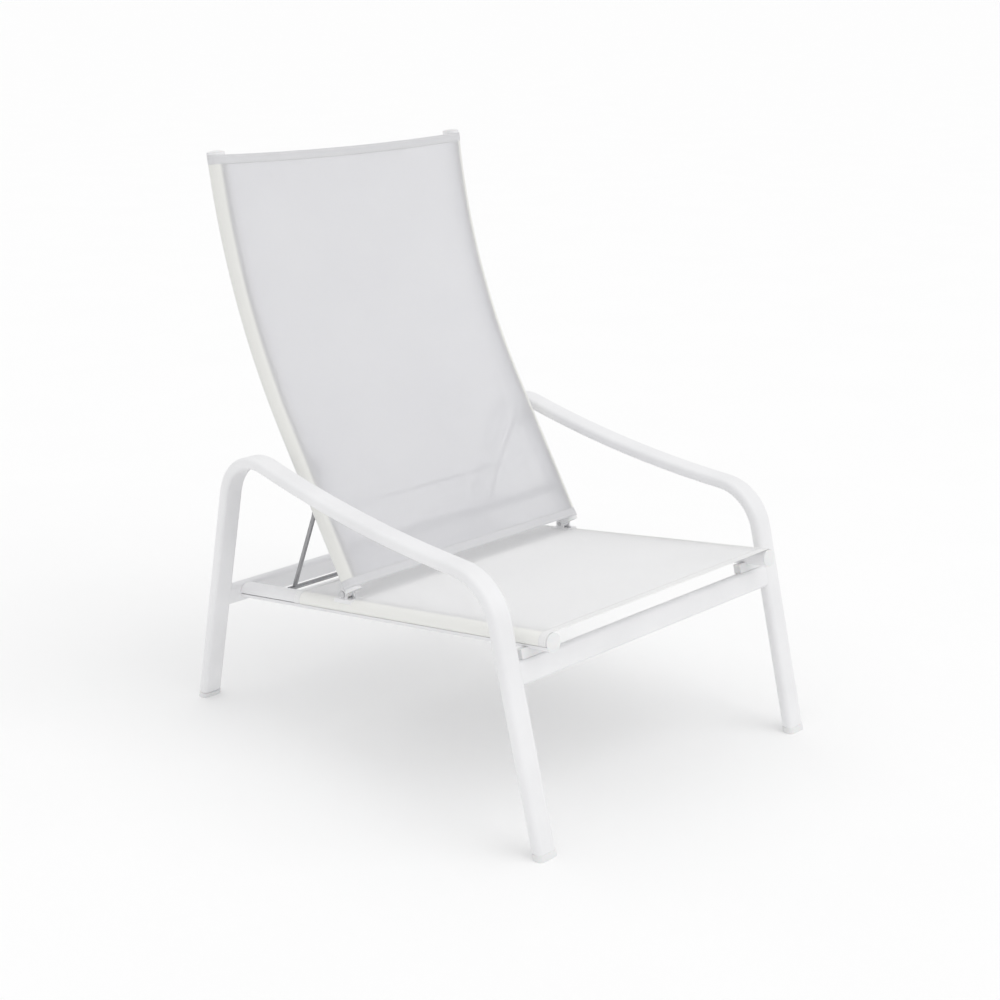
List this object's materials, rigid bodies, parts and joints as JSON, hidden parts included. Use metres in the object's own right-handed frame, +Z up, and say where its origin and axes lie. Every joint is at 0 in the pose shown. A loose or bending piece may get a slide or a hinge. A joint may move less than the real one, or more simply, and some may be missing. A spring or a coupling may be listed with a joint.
{
  "type": "reclining garden armchair",
  "caption": "Low garden lounge armchair with bent flat-oval side frames, a sloping mesh seat and a curved mesh back that reclines on a notched rod prop.",
  "frame": {"origin": "centre of the footprint, on the ground", "axes": "+Z up, -Y the way the sitter faces, +X the sitter's left"},
  "size_m": [0.6916, 0.8976, 0.995],
  "materials": {
    "white_paint": "satin white powder coat",
    "white_plastic": "smooth white moulding",
    "seat_cloth": "white woven mesh",
    "back_cloth": "white woven mesh",
    "edge_cord": "white fabric edge around a cord",
    "rod_steel": "dull steel rod",
    "fixings": "stainless steel"
  },
  "bodies": {
    "frame": {"front_crossbar": "white_paint", "rear_crossbar": "white_paint", "frame_bolts": "fixings", "seat_fabric": "seat_cloth", "bracket_screws": "fixings", "rack_screws": "fixings", "side_frame_left": "white_paint", "side_frame_right": "white_paint", "glide_front_left": "white_plastic", "glide_front_right": "white_plastic", "glide_rear_left": "white_plastic", "glide_rear_right": "white_plastic", "seat_rail_left": "white_paint", "seat_rail_right": "white_paint", "seat_cap_left": "white_plastic", "seat_cap_right": "white_plastic", "rear_pad_left": "white_plastic", "rear_pad_right": "white_plastic", "saddle_left": "white_plastic", "saddle_right": "white_plastic", "seat_keder_left": "edge_cord", "seat_keder_right": "edge_cord", "hinge_bracket_left": "white_paint", "hinge_bracket_right": "white_paint", "hinge_pin_left": "fixings", "hinge_pin_right": "fixings", "rack_left": "white_plastic", "rack_right": "white_plastic"},
    "back": {"back_fabric": "back_cloth", "spreader": "white_paint", "lug_screws": "fixings", "back_rail_left": "white_paint", "back_rail_right": "white_paint", "back_cap_left": "white_plastic", "back_cap_right": "white_plastic", "hinge_fitting_left": "white_plastic", "hinge_fitting_right": "white_plastic", "back_keder_left": "edge_cord", "back_keder_right": "edge_cord", "bail_lug_left": "white_plastic", "bail_lug_right": "white_plastic"},
    "bail": {"bail_leg_left": "rod_steel", "bail_leg_right": "rod_steel", "bail_stiffener": "rod_steel", "bail_foot_bar": "rod_steel"}
  },
  "joints": [
    {"name": "back_recline", "type": "hinge", "parent": "frame", "child": "back", "pos_m": [0, 0.08437, 0.28405], "axis": [1, 0, 0], "range_deg": [-12.2, 3.8]},
    {"name": "bail_swing", "type": "hinge", "parent": "back", "child": "bail", "pos_m": [0, 0.18525, 0.47941], "axis": [1, 0, 0], "range_deg": [-6.2, 19.7]}
  ],
  "couplings": [
    {"joint": "bail_swing", "follows": "back_recline", "ratio": -1.6}
  ]
}
